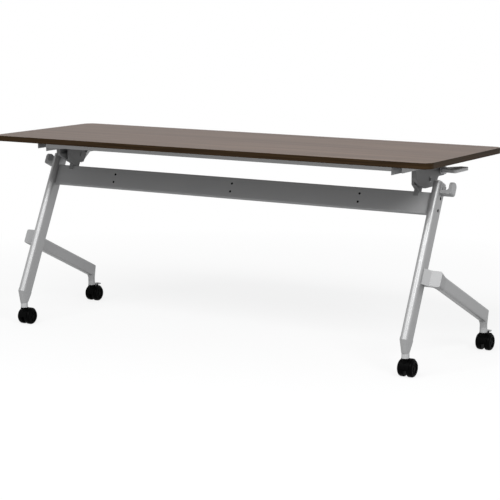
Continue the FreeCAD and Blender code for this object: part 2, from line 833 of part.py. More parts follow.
def coil_path(radius, pitch, first, last):
    """A helix about X between two angles, as two tangent arcs to each step of a quarter turn or less."""
    rise = pitch / math.tau
    length = math.hypot(radius, rise)

    def point(angle):
        return Vector(rise * angle, radius * math.cos(angle), radius * math.sin(angle))

    def heading(angle):
        return Vector(rise, -radius * math.sin(angle), radius * math.cos(angle)) * (1 / length)

    edges = []
    steps = math.ceil((last - first) / (math.pi / 2))
    angles = [first + (last - first) * step / steps for step in range(steps + 1)]
    for here, there in zip(angles, angles[1:]):
        start, end = point(here), point(there)
        out, back = heading(here), heading(there)
        gap, both = end - start, out + back
        spread = 2 * (1 - out.dot(back))
        lead = (-gap.dot(both) + math.sqrt(gap.dot(both) ** 2 + spread * gap.dot(gap))) / spread
        joint = (start + out * lead + end - back * lead) * 0.5
        edges.append(arc_from(start, out, joint))
        edges.append(arc_from(joint, (end - back * lead - joint).normalize(), end))
    return edges, (point(first), heading(first)), (point(last), heading(last))


def least_gap(edges, pitch, wire):
    """Least distance between two stretches of wire that are half a turn or more apart."""
    points = [spot for edge in edges for spot in edge.discretize(9)[:-1]]
    apart = len(points) * pitch / (points[-1].x - points[0].x) / 2
    return min(
        one.distanceToPoint(other) - 2 * wire
        for index, one in enumerate(points)
        for other in points[index + int(apart):]
    )


def make_return_spring():
    """Torsion spring round the shaft, with one leg up to the channel and one along the pawl."""
    wire, pitch = value("spring_wire"), value("spring_pitch")
    radius = value("shaft_radius + swivel_gap + spring_wire")
    _, arm, _ = latch_layout()
    # One leg comes straight down from the channel's web, the other leaves along the pawl's arm.
    first = math.pi
    last = arm - math.pi / 2 + math.tau * (value("spring_turns") + 2)
    edges, (high, down), (low, onward) = coil_path(radius, pitch, first, last)
    top = high - down * value(f"{ARM_CROWN} - shaft_rise - swivel_gap")
    tail = low + onward * value("spring_leg")
    path = [Part.LineSegment(top, high).toShape(), *edges, Part.LineSegment(low, tail).toShape()]
    section = Part.Wire(Part.Circle(top, down, wire).toShape())
    spring = doc.addObject("Part::Feature", "return_spring")
    spring.Label = "return_spring"
    spring.Shape = Part.Wire(path).makePipeShell([section], True, False)
    beside = f"({LATCH_NEAR} + latch_thickness / 2 - pawl_thickness / 2 - swivel_gap - spring_wire)"
    place(spring, (f"{beside} - {tail.x:.9f}", *SHAFT_FRAME[1:]))
    subparts.append(spring)
    print("return_spring: least gap to itself", round(least_gap(edges, pitch, wire), 3))


def make_post(name, side):
    """Leaning flat-oval tube with access holes outside for the beam bolts."""
    body = new_body(f"post_{name}", LEAN_FRAME, leaning=True)
    tube = new_sketch(body, "XY_Plane", "foot_gap")
    flat_oval(tube, "post_width", "post_depth", "0", f"{side} * post_x")
    flat_oval(tube, "post_width", "post_depth", "tube_wall", f"{side} * post_x")
    pad(body, tube, f"{POST_TOP} - foot_gap")
    spots = [("0", f"{BEAM_LEVEL} + {way} * bolt_spacing / 2") for way in (-1, 1)]
    outer = new_sketch(body, "YZ_Plane", f"{side} * post_x")
    circles(outer, spots, "access_radius")
    pocket(body, outer, "post_width", along_normal=side > 0)
    inner = new_sketch(body, "YZ_Plane", f"{side} * post_x")
    circles(inner, spots, "bolt_radius + running_fit")
    pocket(body, inner, "post_width", along_normal=side < 0)


def make_post_cap(name, side):
    body = new_body(f"post_cap_{name}", LEAN_FRAME, leaning=True)
    plug = new_sketch(body, "XY_Plane", f"{POST_TOP} - cap_plug")
    flat_oval(plug, "post_width", "post_depth", "tube_wall + plug_fit", f"{side} * post_x")
    pad(body, plug, "cap_plug")
    cover = new_sketch(body, "XY_Plane", POST_TOP)
    flat_oval(cover, "post_width", "post_depth", "0", f"{side} * post_x")
    pad(body, cover, "cap_height")
    crown = value(f"{POST_TOP} + cap_height")

    def on_crown(edge):
        return all(abs(vertex.Point.z - crown) < TOUCH for vertex in edge.Vertexes)

    round_edges(body, on_crown, "cap_edge")


def bore_stem(body):
    """Socket for a caster's stem, from the seat upwards."""
    bore = new_sketch(body, "XY_Plane", "collar_top")
    circle(bore, "0", "0", STEM_BORE)
    pocket(body, bore, "stem_rise + stem_clearance", along_normal=True)


def make_front_foot(name, side):
    """Sleeved casting that tapers from the leaning post to the upright front caster."""
    body = new_body(f"front_foot_{name}", (f"{side} * post_x", "-stem_front", "0"))

    def leaning_oval(level, inset):
        at = ("0", f"{level} * sin(lean_angle)", f"foot_corner + {level} * cos(lean_angle)")
        sketch = new_sketch(body, "XY_Plane", at=at, turn_axis=Vector(-1, 0, 0), turn="lean_angle")
        flat_oval(sketch, "post_width", "post_depth", inset)
        return sketch

    seat = new_sketch(body, "XY_Plane", "collar_top")
    flat_oval(seat, "seat_width", "front_seat_depth")
    loft(body, seat, leaning_oval("(foot_gap - sleeve_height)", "-sleeve_wall"))
    pad(body, leaning_oval("(foot_gap - sleeve_height)", "-sleeve_wall"), "sleeve_height")
    pad(body, leaning_oval("foot_gap", "tube_wall + plug_fit"), "spigot_length")
    bore_stem(body)


def make_strut_elbow(name, side):
    """Casting that flares off the post's outer side into a blunt front and narrows to the strut."""
    body = new_body(f"strut_elbow_{name}", LEAN_FRAME, leaning=True)
    near = f"({POST_OUTER} + elbow_flare)"
    width = f"(strut_x + strut_width / 2 - {near})"
    front = new_sketch(body, "XZ_Plane", "-elbow_front")
    center = f"{side} * ({near} + {width} / 2)"
    rounded_rectangle(front, width, "elbow_depth", "strut_corner", center, "elbow_level")
    end = new_sketch(body, "XZ_Plane", "-elbow_end")
    strut_section(end, "0", f"{side} * strut_x", "strut_level")
    loft(body, front, end)
    root = f"({POST_OUTER} - elbow_root)"
    flare = [
        (root, f"elbow_front - ({near} - {root})"),
        (near, "elbow_front"),
        (f"({near} + strut_corner)", "elbow_front"),
        (f"({near} + strut_corner)", "elbow_back"),
        (root, "elbow_back"),
    ]
    block = new_sketch(body, "XY_Plane", "elbow_level - elbow_depth / 2")
    polygon(block, [(f"{side} * {across}", along) for across, along in flare])
    pad(body, block, "elbow_depth")
    cope = new_sketch(body, "XY_Plane", "elbow_level + elbow_depth")
    flat_oval(cope, "post_width", "post_depth", "0", f"{side} * post_x")
    pocket(body, cope, "2 * elbow_depth")
    spigot = new_sketch(body, "XZ_Plane", "-elbow_end - spigot_length")
    strut_section(spigot, "tube_wall + plug_fit", f"{side} * strut_x", "strut_level")
    pad(body, spigot, "spigot_length")


def make_strut(name, side):
    body = new_body(f"strut_{name}", LEAN_FRAME, leaning=True)
    tube = new_sketch(body, "XZ_Plane", f"-{STRUT_END}")
    for inset in ("0", "tube_wall"):
        strut_section(tube, inset, f"{side} * strut_x", "strut_level")
    pad(body, tube, f"{STRUT_END} - elbow_end")


def make_rear_foot(name, side):
    """Casting that turns the strut down and narrows to the upright rear caster."""
    body = new_body(f"rear_foot_{name}", (f"{side} * strut_x", "stem_rear", "0"))
    mouth_at = ("0", "-strut_tail * cos(lean_angle)", "heel_height + strut_tail * sin(lean_angle)")

    def mouth(inset):
        sketch = new_sketch(
            body, "XY_Plane", at=mouth_at, turn_axis=Vector(1, 0, 0), turn="90 - lean_angle"
        )
        strut_section(sketch, inset)
        return sketch

    # The heel lies where the strut's edges meet the neck's.
    heel_rise = "(strut_depth / 2 / cos(lean_angle) - seat_depth / 2 * tan(lean_angle))"
    heel = new_sketch(
        body,
        "XY_Plane",
        at=("0", "0", "heel_height"),
        turn_axis=Vector(1, 0, 0),
        turn=f"atan(2 * {heel_rise} / seat_depth)",
    )
    rounded_rectangle(
        heel, "strut_width", f"(2 * sqrt({heel_rise} ^ 2 + seat_depth ^ 2 / 4))", "strut_corner"
    )
    neck = new_sketch(body, "XY_Plane", "collar_top + neck_rise")
    rounded_rectangle(neck, "seat_width", "seat_depth", "neck_corner")
    seat = new_sketch(body, "XY_Plane", "collar_top")
    rounded_rectangle(seat, "seat_width", "seat_depth", "neck_corner")
    loft(body, mouth("0"), heel, neck, seat, ruled=True)
    pad(body, mouth("tube_wall + plug_fit"), "spigot_length")
    bore_stem(body)


def make_crossbeam():
    """Flat tube between the posts with holes in its front face for a modesty panel."""
    body = new_body("crossbeam", LEAN_FRAME, leaning=True)
    tube = new_sketch(body, "YZ_Plane", f"-{POST_INNER}")
    rounded_rectangle(tube, "beam_depth", "beam_height", "beam_corner", "0", BEAM_LEVEL)
    rounded_rectangle(
        tube,
        "beam_depth - 2 * tube_wall",
        "beam_height - 2 * tube_wall",
        "beam_corner - tube_wall",
        "0",
        BEAM_LEVEL,
    )
    pad(body, tube, f"2 * {POST_INNER}")
    holes = new_sketch(body, "XZ_Plane", "0")
    for step in (-1, 0, 1):
        for way in (-1, 1):
            level = f"{BEAM_LEVEL} + {way} * panel_hole_spacing / 2"
            circle(holes, f"{step} * panel_hole_pitch", level, "panel_hole_radius")
    pocket(body, holes, "beam_depth", along_normal=True)


def make_beam_plug(name, side):
    """Tapped block in the beam's end that the bolts pull against the post."""
    body = new_body(f"beam_plug_{name}", LEAN_FRAME, leaning=True)
    low, length = span(side, f"({POST_INNER} - beam_plug_length)", POST_INNER)
    block = new_sketch(body, "YZ_Plane", low)
    inset = "2 * (tube_wall + plug_fit)"
    rounded_rectangle(
        block, f"beam_depth - {inset}", f"beam_height - {inset}", "beam_corner - tube_wall", "0", BEAM_LEVEL
    )
    pad(body, block, length)
    holes = new_sketch(body, "YZ_Plane", f"{low} + {length}")
    spots = [("0", f"{BEAM_LEVEL} + {way} * bolt_spacing / 2") for way in (-1, 1)]
    circles(holes, spots, "bolt_radius + running_fit")
    pocket(body, holes, "beam_plug_length")


def make_beam_bolts():
    """Bolts seated inside the posts and screwed into the beam's plugs."""
    body = new_body("beam_bolts", LEAN_FRAME, leaning=True)
    spots = [("0", f"{BEAM_LEVEL} + {way} * bolt_spacing / 2") for way in (-1, 1)]
    seat = f"({POST_INNER} + tube_wall)"
    for side in SIDES.values():
        low, length = span(side, seat, f"({seat} + bolt_head_height)")
        heads = new_sketch(body, "YZ_Plane", low)
        circles(heads, spots, "bolt_head_radius")
        pad(body, heads, length)
        low, length = span(side, f"({seat} - bolt_length)", seat)
        shanks = new_sketch(body, "YZ_Plane", low)
        circles(shanks, spots, "bolt_radius")
        pad(body, shanks, length)


def make_bag_hook(name, side):
    """Upturned hook on the post's outer side, below its cap."""
    body = new_body(f"bag_hook_{name}", LEAN_FRAME, leaning=True)
    low = f"({POST_TOP} - hook_drop)"
    tip = f"({POST_TOP} + hook_rise)"
    far = f"({POST_OUTER} + hook_reach)"
    points = [
        (POST_OUTER, f"({POST_TOP} - hook_rise)"),
        (POST_OUTER, low),
        (far, low),
        (far, tip),
        (f"({far} - hook_thickness)", tip),
        (f"({far} - hook_thickness)", f"({low} + hook_thickness)"),
        (f"({POST_OUTER} + hook_plate)", f"({low} + hook_thickness)"),
        (f"({POST_OUTER} + hook_plate)", f"({POST_TOP} - hook_rise)"),
    ]
    points = [(f"{side} * {across}", up) for across, up in points]
    outline = new_sketch(body, "XZ_Plane", "-hook_width / 2")
    polygon(outline, points)
    pad(body, outline, "hook_width")
    bends = [points[2], points[5]]
    round_edges(body, corner_edges(Vector(0, 1, 0), bends), "hook_bend")
    tip_z = value(tip)

    def tip_corners(edge):
        level = all(abs(vertex.Point.z - tip_z) < TOUCH for vertex in edge.Vertexes)
        return level and straight_along(edge, Vector(1, 0, 0))

    round_edges(body, tip_corners, "hook_tip")


def make_caster_collars():
    """Pale rings between the feet and the casters, each round a stem."""
    seats = [(f"{side} * post_x", "-stem_front") for side in SIDES.values()]
    seats += [(f"{side} * strut_x", "stem_rear") for side in SIDES.values()]
    body = new_body("caster_collars")
    rings = new_sketch(body, "XY_Plane", COLLAR_BOTTOM)
    circles(rings, seats, "collar_radius")
    circles(rings, seats, STEM_BORE)
    pad(body, rings, "collar_height")


def half_ring(sketch, inner, outer):
    """The upper half of a ring about the axle."""
    center = Vector(value("trail"), value("wheel_radius"), 0)
    small, large = value(inner), value(outer)
    arcs = []
    for radius in (inner, outer):
        whole = Part.Circle(center, Vector(0, 0, 1), value(radius))
        index = sketch.addGeometry(Part.ArcOfCircle(whole, 0, math.pi), False)
        arcs.append(index)
        dimension(sketch, "Radius", index, size=radius)
        locate(sketch, index, 3, "trail", "wheel_radius")
    for point, sign in ((1, 1), (2, -1)):
        ends = [center + Vector(sign * small, 0, 0), center + Vector(sign * large, 0, 0)]
        line = sketch.addGeometry(Part.LineSegment(*ends), False)
        sketch.addConstraint(Sketcher.Constraint("Coincident", line, 1, arcs[0], point))
        sketch.addConstraint(Sketcher.Constraint("Coincident", line, 2, arcs[1], point))
        sketch.addConstraint(Sketcher.Constraint("Horizontal", line))


def make_hood(name, base, braked):
    """Hood over the wheels with its centre web, swivel flange and stem."""
    body = new_body(f"caster_hood_{name}", base)
    half = "(wheel_inset + wheel_width - wheel_shoulder)"
    cover = new_sketch(body, "YZ_Plane", f"-{half}")
    half_ring(cover, HOOD_INNER, HOOD_OUTER)
    pad(body, cover, f"2 * {half}")
    web = new_sketch(body, "YZ_Plane", "-hood_web / 2")
    half_ring(web, "wheel_hub_radius", f"{HOOD_INNER} + hood_wall / 2")
    pad(body, web, "hood_web")
    hub = new_sketch(body, "YZ_Plane", "-hood_web / 2")
    circle(hub, "trail", "wheel_radius", "wheel_hub_radius + hood_wall")
    pad(body, hub, "hood_web")
    boss = new_sketch(body, "XY_Plane", "wheel_radius + wheel_hub_radius")
    circle(boss, "0", "0", "hood_boss")
    pad(body, boss, f"{COLLAR_BOTTOM} - swivel_gap - wheel_radius - wheel_hub_radius")
    for side in SIDES.values():
        room = new_sketch(body, "YZ_Plane", f"{side} * hood_web / 2")
        circle(room, "trail", "wheel_radius", HOOD_INNER)
        pocket(body, room, half, along_normal=side > 0)
    flange = new_sketch(body, "XY_Plane", f"{COLLAR_BOTTOM} - swivel_gap - hood_flange_height")
    circle(flange, "0", "0", "hood_flange")
    pad(body, flange, "hood_flange_height")
    stem = new_sketch(body, "XY_Plane", f"{COLLAR_BOTTOM} - swivel_gap")
    circle(stem, "0", "0", "stem_radius")
    pad(body, stem, "swivel_gap + collar_height + stem_rise")
    if braked:
        add_pedal_ears(body)
    bore = new_sketch(body, "YZ_Plane", "hood_web / 2")
    circle(bore, "trail", "wheel_radius", "axle_radius + running_fit / 2")
    pocket(body, bore, "hood_web")


def add_pedal_ears(body):
    """Two ears on the hood that hold the pedal's trunnions."""
    near = "(pedal_half_width + swivel_gap)"
    half = "(pedal_knuckle + pedal_ear_rim)"
    for side in SIDES.values():
        low, length = span(side, near, f"({near} + pedal_ear)")
        ear = new_sketch(body, "YZ_Plane", low)
        circle(ear, PEDAL_Y, PEDAL_Z, half)
        pad(body, ear, length)
        foot = new_sketch(body, "YZ_Plane", low)
        polygon(
            foot,
            [
                (f"{PEDAL_Y} - {half}", PEDAL_Z),
                (f"{PEDAL_Y} + {half}", PEDAL_Z),
                (f"{PEDAL_Y} + {half}", hood_level(f"(pedal_back + {half})")),
                (f"{PEDAL_Y} - {half}", hood_level(f"(pedal_back - {half})")),
            ],
        )
        pad(body, foot, length)
        bore = new_sketch(body, "YZ_Plane", f"{low} + {length}")
        circle(bore, PEDAL_Y, PEDAL_Z, "pedal_pin + running_fit")
        pocket(body, bore, "pedal_ear")


def hood_level(back):
    """Height of the middle of the hood's wall at a distance behind the axle."""
    return f"(wheel_radius + sqrt(({HOOD_OUTER} - hood_wall / 2) ^ 2 - {back} ^ 2))"


def make_brake_pedal(name, base):
    """Foot tab with a knuckle and trunnions between the hood's ears."""
    body = new_body(f"brake_pedal_{name}", base)
    ear_far = "(pedal_half_width + swivel_gap + pedal_ear)"
    knuckle = new_sketch(body, "YZ_Plane", "-pedal_half_width")
    circle(knuckle, PEDAL_Y, PEDAL_Z, "pedal_knuckle")
    pad(body, knuckle, "2 * pedal_half_width")
    pin = new_sketch(body, "YZ_Plane", f"-{ear_far}")
    circle(pin, PEDAL_Y, PEDAL_Z, "pedal_pin")
    pad(body, pin, f"2 * {ear_far}")
    neck_y = f"({PEDAL_Y} + pedal_knuckle + pedal_ear_rim + 2 * swivel_gap)"
    tip_y = f"({PEDAL_Y} + pedal_length)"
    tab = [
        ("-pedal_half_width", PEDAL_Y),
        ("pedal_half_width", PEDAL_Y),
        ("pedal_half_width", neck_y),
        ("pedal_width / 2", neck_y),
        ("pedal_width / 2", tip_y),
        ("-pedal_width / 2", tip_y),
        ("-pedal_width / 2", neck_y),
        ("-pedal_half_width", neck_y),
    ]
    plate = new_sketch(body, "XY_Plane", f"{PEDAL_Z} - pedal_pin")
    polygon(plate, tab)
    pad(body, plate, "pedal_thickness")
    round_edges(body, corner_edges(Vector(0, 0, 1), tab[4:6]), "pedal_thickness")


def make_axle(name, base):
    body = new_body(f"caster_axle_{name}", base)
    half = "(wheel_inset + wheel_width - wheel_dish - wheel_cap)"
    rod = new_sketch(body, "YZ_Plane", f"-{half}")
    circle(rod, "trail", "wheel_radius", "axle_radius")
    pad(body, rod, f"2 * {half}")


def make_wheel(name, base, side):
    """Turned wheel with a rounded tread, a dished outer face and a closed hub."""
    body = new_body(f"caster_wheel_{name}", (base[0], f"({base[1]} + trail)", "wheel_radius"))
    web = "(hood_web / 2 + swivel_gap)"
    inner, outer = "wheel_inset", "(wheel_inset + wheel_width)"
    dish = f"({outer} - wheel_dish)"
    rim = "(wheel_radius - wheel_rim)"
    points = [
        (web, "axle_radius + running_fit"),
        (web, "wheel_hub_radius"),
        (inner, "wheel_hub_radius"),
        (inner, "wheel_radius"),
        (outer, "wheel_radius"),
        (outer, rim),
        (dish, f"{rim} - wheel_dish / 2"),
        (dish, "0"),
        (f"({dish} - wheel_cap + swivel_gap)", "0"),
        (f"({dish} - wheel_cap + swivel_gap)", "axle_radius + running_fit"),
    ]
    outline = new_sketch(body, "XZ_Plane")
    polygon(outline, [(f"{side} * {across}", up) for across, up in points])
    revolve(body, outline)
    tread = value("wheel_radius")

    def tread_edge(across):
        def chosen(edge):
            if edge.Curve.TypeId != "Part::GeomCircle":
                return False
            on_tread = abs(edge.Curve.Radius - tread) < TOUCH
            return on_tread and abs(abs(edge.Curve.Center.x) - value(across)) < TOUCH

        return chosen

    round_edges(body, tread_edge(outer), "wheel_shoulder")
    round_edges(body, tread_edge(inner), "wheel_throat")


def make_caster(name, base, braked):
    make_hood(name, base, braked)
    make_axle(name, base)
    for side_name, side in SIDES.items():
        make_wheel(f"{name}_{side_name}", base, side)
    if braked:
        make_brake_pedal(name, base)


def make_base(name, side):
    make_post(name, side)
    make_post_cap(name, side)
    make_front_foot(name, side)
    make_strut_elbow(name, side)
    make_strut(name, side)
    make_rear_foot(name, side)
    make_beam_plug(name, side)
    make_bag_hook(name, side)
    make_hinge_bracket(name, side)
    make_hinge_pin(name, side)


make_tabletop()
for rail_name, rail_side in (("front", -1), ("rear", 1)):
    make_rail(rail_name, rail_side)
make_top_screws()
for end_name, end_side in SIDES.items():
    make_channel(end_name, end_side)
    make_hinge_arm(end_name, end_side)
    make_hinge_bush(end_name, end_side)
    make_latch_pawl(end_name, end_side)
    make_base(end_name, end_side)
    make_caster(f"front_{end_name}", (f"{end_side} * post_x", "-stem_front", "0"), False)
    make_caster(f"rear_{end_name}", (f"{end_side} * strut_x", "stem_rear", "0"), True)
make_release_shaft()
make_release_lever()
make_return_spring()
make_pin_clips()
make_crossbeam()
make_beam_bolts()
make_caster_collars()

doc.recompute()
failed = [item.Label for item in doc.Objects if {"Invalid", "Error"} & set(item.State)]
failed += [part.Label for part in subparts if part.Shape.isNull() or not part.Shape.isValid()]
if failed:
    raise RuntimeError("failed objects: " + ", ".join(failed))
os.makedirs("parts", exist_ok=True)
for part in subparts:
    part.Shape.exportStep(f"parts/{part.Label}.step")
print(len(subparts), "sub-parts")
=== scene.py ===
import json
import math

import bmesh
import bpy
from mathutils import Matrix, Vector


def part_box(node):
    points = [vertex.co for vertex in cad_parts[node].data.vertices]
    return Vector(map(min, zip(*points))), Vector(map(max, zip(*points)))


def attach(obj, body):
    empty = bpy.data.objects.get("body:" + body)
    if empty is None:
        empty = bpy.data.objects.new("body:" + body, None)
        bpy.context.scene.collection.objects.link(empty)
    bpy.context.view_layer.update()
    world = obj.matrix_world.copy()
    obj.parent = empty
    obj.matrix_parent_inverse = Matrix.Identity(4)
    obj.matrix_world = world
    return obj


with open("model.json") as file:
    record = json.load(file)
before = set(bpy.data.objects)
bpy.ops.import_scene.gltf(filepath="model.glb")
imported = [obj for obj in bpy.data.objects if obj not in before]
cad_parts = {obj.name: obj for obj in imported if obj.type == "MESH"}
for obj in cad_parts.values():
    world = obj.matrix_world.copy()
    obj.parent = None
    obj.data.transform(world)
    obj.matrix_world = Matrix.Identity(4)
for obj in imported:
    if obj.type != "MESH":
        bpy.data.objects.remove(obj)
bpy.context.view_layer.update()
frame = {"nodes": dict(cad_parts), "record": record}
nodes = frame["nodes"]
scene = bpy.context.scene

# The photo's camera: straight lens, no roll, looking along the table from the front right
CAMERA_AT = (3.1175, -4.99824, 1.30977)
CAMERA_YAW = math.radians(31.55)
CAMERA_DOWN = math.radians(9.53)
CAMERA_LENS = 117.85
CAMERA_SENSOR = 36

# Metres in a millimetre, for the record's lengths
MM = 0.001

# Floor: half width, tone for bounced light, tone as seen, roughness, the share of plain white in what is
# seen near the table, and the distances over which that share grows to all, so that there is no horizon
FLOOR_REACH = 30
FLOOR_TONE = 0.30
FLOOR_SEEN = 0.90
FLOOR_ROUGH = 0.9
FLOOR_GLOW = 0.82
FADE_START = 1.0
FADE_END = 2.6

# Light: the surround's strength and tint, and each lamp's place, aim, size and power
SURROUND = 0.42
SURROUND_TINT = (0.97, 0.985, 1, 1)
LAMPS = (
    ("softbox", (0.2, -3.6, 4.0), (0, 0, 0.4), (4.0, 1.4), 170),
    ("strip", (3.9, -2.6, 3.3), (0.5, 0, 0.4), (1.8, 1.4), 115),
)

# The posts' lean, from the panel holes that face along it
HOLE_AXIS = next(mount["axis"] for mount in frame["record"]["mounts"] if mount["kind"] == "bore")
LEAN = math.atan2(HOLE_AXIS[2], -HOLE_AXIS[1])

# Small added pieces, in metres
INSERT_RADIUS = 0.0042
INSERT_FLANGE = 0.0006
INSERT_WALL = 0.0007
INSERT_FIT = 0.00005
INSERT_DEPTH = 0.006
HUB_RADIUS = 0.0075
HUB_RISE = 0.0024
WHEEL_DISH = 0.0035
SPOKE_INNER = 0.0085
SPOKE_OUTER = 0.0175
SPOKE_HALF = 0.0009
SPOKE_RISE = 0.0018
SPOKES = 6
RIB_RADIUS = 0.0008
RIB_PITCH = 0.0035
RIB_MARGIN = 0.0034
RIB_STEPS = 4
RIBS = 3
PEDAL_STEP = 0.0005
HOOK_PLATE = 0.004
HOOK_SCREW_SPREAD = 0.009
HOOK_SCREW_RADIUS = 0.0035
# Height of the painted recess shade above the screw and bolt heads
PAINTED_RECESS_RISE = 0.0002
CROSS_REACH = 0.0030
CROSS_HALF = 0.0006
HEX_RADIUS = 0.0026
DOME_HOLE = 0.0002
DOME_STEPS = 5
LATHE_STEPS = 36

# Base colours, linear
WALNUT_DARK = (0.085, 0.053, 0.037)
WALNUT = (0.118, 0.076, 0.054)
WALNUT_PALE = (0.154, 0.102, 0.074)
BAND_DARK = (0.018, 0.010, 0.004)
BAND_PALE = (0.040, 0.023, 0.010)
BACKING_DARK = (0.085, 0.064, 0.050)
BACKING_PALE = (0.125, 0.097, 0.079)
BUSH = (0.60, 0.59, 0.54)
WHITE = (1, 1, 1)
COOL = (1, 1.003, 1.008)

# Shades that multiply a base colour
STREAK_SHADE = (0.66, 0.62, 0.58)
PORE_SHADE = (0.55, 0.50, 0.46)
WORN_SHADE = (0.70, 0.68, 0.66)

# Sockets of Blender's colour mix node
MIX_FACTOR = 0
MIX_FIRST = 6
MIX_SECOND = 7
MIX_RESULT = 2


class Nodes:
    """A short way to write a material's node tree."""

    def __init__(self, name):
        self.material = bpy.data.materials.new(name)
        self.material.use_nodes = True
        self.tree = self.material.node_tree
        self.shader = self.tree.nodes["Principled BSDF"]

    def add(self, kind, settings=None, **inputs):
        """A new node with its settings and inputs; an underscore in a name stands for a space."""
        node = self.tree.nodes.new(kind)
        for key, setting in (settings or {}).items():
            setattr(node, key, setting)
        for key, given in inputs.items():
            self.feed(node, key.replace("_", " "), given)
        return node

    def feed(self, node, socket, given):
        """Sets a socket, or links it where an output is given."""
        if isinstance(given, bpy.types.NodeSocket):
            self.tree.links.new(given, node.inputs[socket])
        else:
            node.inputs[socket].default_value = given

    def place(self, scale=(1, 1, 1)):
        """Object coordinates, scaled."""
        coordinates = self.add("ShaderNodeTexCoord").outputs["Object"]
        return self.add("ShaderNodeMapping", Vector=coordinates, Scale=scale).outputs["Vector"]

    def noise(self, vector, scale, detail, rough=0.55, warp=0.0):
        """Fractal noise as a factor."""
        look = {"Scale": scale, "Detail": detail, "Roughness": rough, "Distortion": warp}
        return self.add("ShaderNodeTexNoise", Vector=vector, **look).outputs["Fac"]

    def ramp(self, factor, *stops):
        """A colour ramp from pairs of position and colour."""
        node = self.add("ShaderNodeValToRGB", Fac=factor)
        band = node.color_ramp
        while len(band.elements) < len(stops):
            band.elements.new(0.5)
        for element, (at, color) in zip(band.elements, stops):
            element.position = at
            element.color = (*color, 1)
        return node.outputs["Color"]

    def span(self, factor, low, high, start=0.0, end=1.0):
        """A factor's range from start to end, moved to a range from low to high."""
        ends = {"From_Min": start, "From_Max": end, "To_Min": low, "To_Max": high}
        return self.add("ShaderNodeMapRange", Value=factor, **ends).outputs["Result"]

    def shade(self, share, color, dark):
        """A colour multiplied by a shade, to a given share."""
        node = self.add("ShaderNodeMix", {"data_type": "RGBA", "blend_type": "MULTIPLY"})
        self.feed(node, MIX_FACTOR, share)
        self.feed(node, MIX_FIRST, color)
        self.feed(node, MIX_SECOND, dark)
        return node.outputs[MIX_RESULT]

    def bump(self, height, strength, distance):
        """Lets a factor raise the surface."""
        node = self.add("ShaderNodeBump", Height=height, Strength=strength, Distance=distance)
        self.feed(self.shader, "Normal", node.outputs["Normal"])

    def surface(self, color, rough, **sockets):
        """Feeds the shader and returns the finished material."""
        self.feed(self.shader, "Base Color", color)
        self.feed(self.shader, "Roughness", rough)
        for key, given in sockets.items():
            self.feed(self.shader, key.replace("_", " "), given)
        return self.material


def gray(level):
    """A slightly cool gray."""
    return tuple(level * part for part in COOL)


def make_laminate():
    """Dark walnut print with the grain along the length, fine pores and a satin coat."""
    wood = Nodes("walnut_laminate")
    broad = wood.noise(wood.place((0.55, 9, 9)), scale=2.2, detail=5, rough=0.6, warp=0.35)
    fine = wood.noise(wood.place((3.0, 190, 190)), scale=1.0, detail=4, rough=0.65)
    pores = wood.noise(wood.place((9.0, 420, 420)), scale=1.0, detail=2, rough=0.5)
    tone = wood.ramp(broad, (0.30, WALNUT_DARK), (0.52, WALNUT), (0.72, WALNUT_PALE))
    color = wood.shade(0.75, tone, wood.ramp(fine, (0.34, STREAK_SHADE), (0.62, WHITE)))
    color = wood.shade(0.5, color, wood.ramp(pores, (0.30, PORE_SHADE), (0.42, WHITE)))
    wood.bump(pores, strength=0.12, distance=0.0002)
    return wood.surface(color, wood.span(fine, 0.38, 0.50), Specular_IOR_Level=0.12)


def make_edge_band():
    """Dark brown plastic strip with a fine streak along it."""
    band = Nodes("edge_band_brown")
    streak = band.noise(band.place((5, 5, 260)), scale=1.0, detail=3)
    blotch = band.noise(band.place((4, 4, 4)), scale=2.0, detail=3)
    tone = band.ramp(streak, (0.32, BAND_DARK), (0.66, BAND_PALE))
    color = band.shade(0.4, tone, band.ramp(blotch, (0.3, WORN_SHADE), (0.7, WHITE)))
    band.bump(streak, strength=0.08, distance=0.0002)
    return band.surface(color, band.span(blotch, 0.42, 0.55), Specular_IOR_Level=0.06)


def make_board():
    """Particle board of the top's underside, sealed with a plain brown backing."""
    board = Nodes("backing_brown")
    chips = board.noise(board.place(), scale=240, detail=3, rough=0.7)
    drift = board.noise(board.place(), scale=5, detail=3)
    color = board.ramp(chips, (0.3, BACKING_DARK), (0.7, BACKING_PALE))
    board.bump(chips, strength=0.15, distance=0.0003)
    return board.surface(color, board.span(drift, 0.55, 0.7))


def make_powder_coat(name, level, rough, metal, gloss=0.5):
    """Silver powder coat: metallic flake, faint orange peel and slow drift of tone."""
    coat = Nodes(name)
    flake = coat.noise(coat.place(), scale=2600, detail=1, rough=0.5)
    peel = coat.noise(coat.place(), scale=420, detail=2, rough=0.5)
    drift = coat.noise(coat.place(), scale=9, detail=3)
    tone = coat.ramp(flake, (0.30, gray(level * 0.93)), (0.70, gray(level * 1.05)))
    color = coat.shade(0.35, tone, coat.ramp(drift, (0.3, gray(0.93)), (0.7, gray(1.0))))
    coat.bump(peel, strength=0.03, distance=0.00005)
    roughness = coat.span(drift, rough - 0.03, rough + 0.04)
    return coat.surface(color, roughness, Metallic=metal, Specular_IOR_Level=gloss)


def make_steel(name, level, rough):
    """Zinc-plated steel with fine drawing lines along its length."""
    steel = Nodes(name)
    lines = steel.noise(steel.place((30, 2200, 2200)), scale=1.0, detail=2)
    cloud = steel.noise(steel.place(), scale=60, detail=3)
    color = steel.ramp(cloud, (0.3, gray(level * 0.86)), (0.7, gray(level)))
    steel.bump(lines, strength=0.08, distance=0.0001)
    return steel.surface(color, steel.span(lines, rough - 0.05, rough + 0.08), Metallic=1.0)


